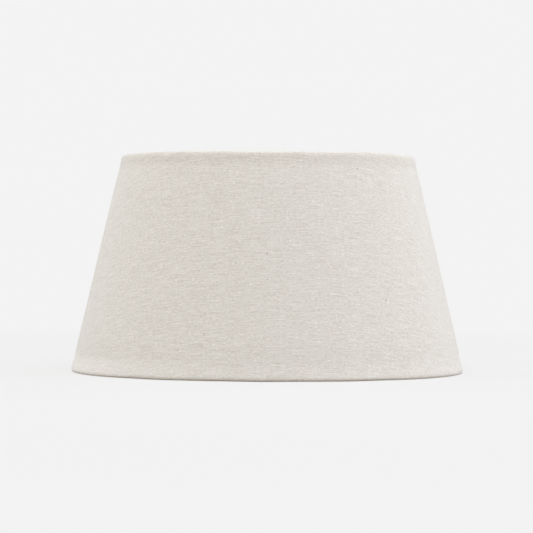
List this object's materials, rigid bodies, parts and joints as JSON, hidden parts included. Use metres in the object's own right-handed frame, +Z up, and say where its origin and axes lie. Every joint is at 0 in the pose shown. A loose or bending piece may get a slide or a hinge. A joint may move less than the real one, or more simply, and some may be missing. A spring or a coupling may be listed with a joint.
{
  "type": "lamp shade",
  "caption": "Round tapered lamp shade: slubby off-white cloth on a stiff film, hems rolled round wire rings, dropped wire spider with a reducer ring.",
  "frame": {"origin": "on the shade's axis, in the plane that the bottom hem stands on", "axes": "+Z up along the shade's axis, from the wide open end to the narrow one; the seam is on the +Y side"},
  "size_m": [0.4, 0.4009, 0.22],
  "materials": {
    "cloth": "matte slubby linen weave, off-white",
    "film": "satin white styrene film",
    "tape": "thin pale double-sided tape",
    "wire_enamel": "white powder coat",
    "plate_enamel": "white powder coat",
    "moulded_plastic": "white moulded heat-resistant plastic, fine satin"
  },
  "bodies": {
    "shade": {"fabric_cover": "cloth", "lining_panel": "film", "seam_tape": "tape", "top_ring": "wire_enamel", "bottom_ring": "wire_enamel", "top_ring_tape": "tape", "bottom_ring_tape": "tape", "spider_arm_1": "wire_enamel", "spider_arm_2": "wire_enamel", "spider_arm_3": "wire_enamel", "centre_ring": "plate_enamel"},
    "reducer": {"reducer_ring": "moulded_plastic"}
  },
  "joints": [
    {"name": "reducer_lift", "type": "slide", "parent": "shade", "child": "reducer", "axis": [0, 0, 1], "range_m": [0, 0.045]}
  ]
}
